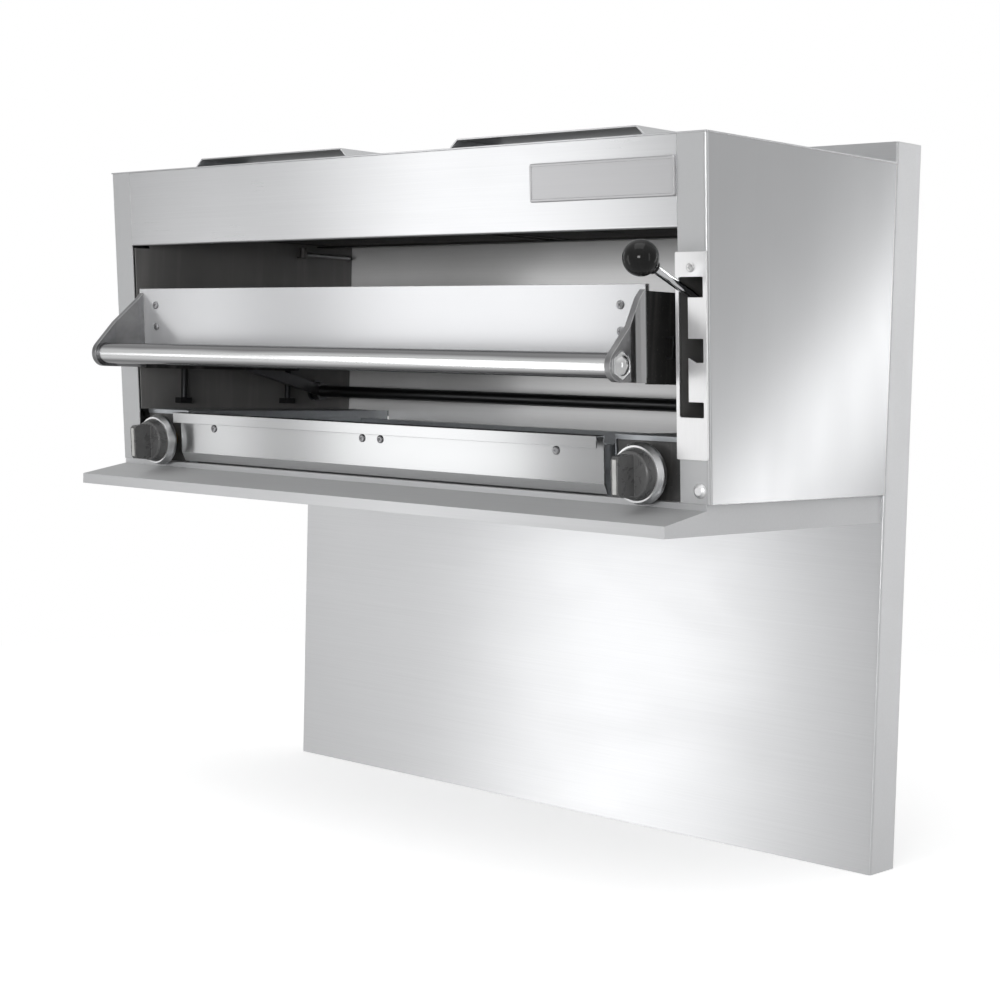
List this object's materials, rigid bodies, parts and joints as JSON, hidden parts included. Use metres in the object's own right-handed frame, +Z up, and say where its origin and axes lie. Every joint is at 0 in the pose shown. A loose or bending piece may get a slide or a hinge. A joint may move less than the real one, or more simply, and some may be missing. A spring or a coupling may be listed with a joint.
{
  "type": "salamander broiler",
  "caption": "Gas salamander broiler on a tall stainless back riser, with a sliding grid rack that a side lever raises and lowers, a grease drawer and round gas knobs.",
  "frame": {"origin": "centre of the four range bolt holes, in the plane of the riser's rear face", "axes": "+X to the right seen from the front, +Y to the back out of the rear face, +Z up"},
  "size_m": [0.922, 0.4613, 0.794],
  "materials": {
    "stainless": "brushed stainless sheet",
    "chamber_steel": "bright aluminised sheet",
    "dark_steel": "dark heat-stained enamel",
    "galvanised": "galvanised sheet",
    "chrome": "polished plating",
    "plate_metal": "satin, left bare",
    "screw_steel": "zinc plated",
    "ground_steel": "ground steel",
    "cast_iron": "seasoned casting",
    "ceramic": "unglazed perforated tile",
    "brass": "machined",
    "black_pipe": "black pipe",
    "tube_metal": "drawn tube",
    "black_knob": "moulded black phenolic"
  },
  "bodies": {
    "cabinet": {"side_panel_right": "stainless", "side_panel_left": "stainless", "top_panel": "stainless", "flue_hats": "stainless", "header_panel": "stainless", "name_plate": "plate_metal", "riser_panel": "stainless", "riser_cap": "stainless", "riser_posts": "galvanised", "rear_cover": "galvanised", "spill_tray": "stainless", "post_stud": "chrome", "chamber_side_left": "dark_steel", "chamber_side_right": "dark_steel", "chamber_back": "chamber_steel", "bay_covers": "dark_steel", "valve_plates": "dark_steel", "guide_rods": "ground_steel", "guide_feet": "galvanised", "shaft_bushes": "brass", "gate_plate": "stainless", "gate_screw": "screw_steel", "gas_valves": "brass", "gas_manifold": "black_pipe", "burner_tubes": "tube_metal", "orifices": "brass", "pilot_valves": "brass", "pilot_tubes": "tube_metal", "pilot_heads": "tube_metal", "burner_bodies": "cast_iron", "burner_tiles": "ceramic", "burner_rails": "galvanised", "venturis": "tube_metal"},
    "carriage": {"carriage_rails": "galvanised", "carriage_tie": "galvanised"},
    "rack": {"rack_front": "stainless", "rack_side_left": "dark_steel", "rack_side_right": "dark_steel", "rack_rear": "dark_steel", "rack_runners": "galvanised", "rack_screws": "screw_steel", "grid_left": "cast_iron", "grid_right": "cast_iron", "handle_bar": "chrome", "handle_brackets": "chrome"},
    "lift_shaft": {"lift_shaft": "ground_steel", "lift_arms": "ground_steel", "lever_fork": "ground_steel", "fork_pin": "screw_steel"},
    "lever": {"lever_bar": "chrome", "ball_knob": "black_knob"},
    "drawer": {"drawer_front": "stainless", "grease_pan": "galvanised", "drawer_screws": "screw_steel"},
    "left_knob": {"knob_left": "black_knob", "knob_skirt_left": "chrome", "valve_stem_left": "ground_steel"},
    "right_knob": {"knob_right": "black_knob", "knob_skirt_right": "chrome", "valve_stem_right": "ground_steel"}
  },
  "joints": [
    {"name": "rack_lift", "type": "slide", "parent": "cabinet", "child": "carriage", "axis": [0, 0, 1], "range_m": [-0.05, 0]},
    {"name": "rack_pull", "type": "slide", "parent": "carriage", "child": "rack", "axis": [0, -1, 0], "range_m": [0, 0.2]},
    {"name": "shaft_swing", "type": "hinge", "parent": "cabinet", "child": "lift_shaft", "pos_m": [0, -0.071, 0.404], "axis": [1, 0, 0], "range_deg": [0, 20.7]},
    {"name": "lever_latch", "type": "hinge", "parent": "lift_shaft", "child": "lever", "pos_m": [0.4325, -0.11014, 0.41922], "axis": [0, 0.3624, 0.932], "range_deg": [0, 3.6]},
    {"name": "drawer_pull", "type": "slide", "parent": "cabinet", "child": "drawer", "axis": [0, -1, 0], "range_m": [0, 0.25]},
    {"name": "left_knob_turn", "type": "hinge", "parent": "cabinet", "child": "left_knob", "pos_m": [-0.38, -0.36289, 0.34293], "axis": [0, -0.9975, -0.0701], "range_deg": [0, 90]},
    {"name": "right_knob_turn", "type": "hinge", "parent": "cabinet", "child": "right_knob", "pos_m": [0.38, -0.36289, 0.34293], "axis": [0, -0.9975, -0.0701], "range_deg": [0, 90]}
  ],
  "couplings": [
    {"joint": "shaft_swing", "follows": "rack_lift", "rad_per_m": -7.2231}
  ]
}
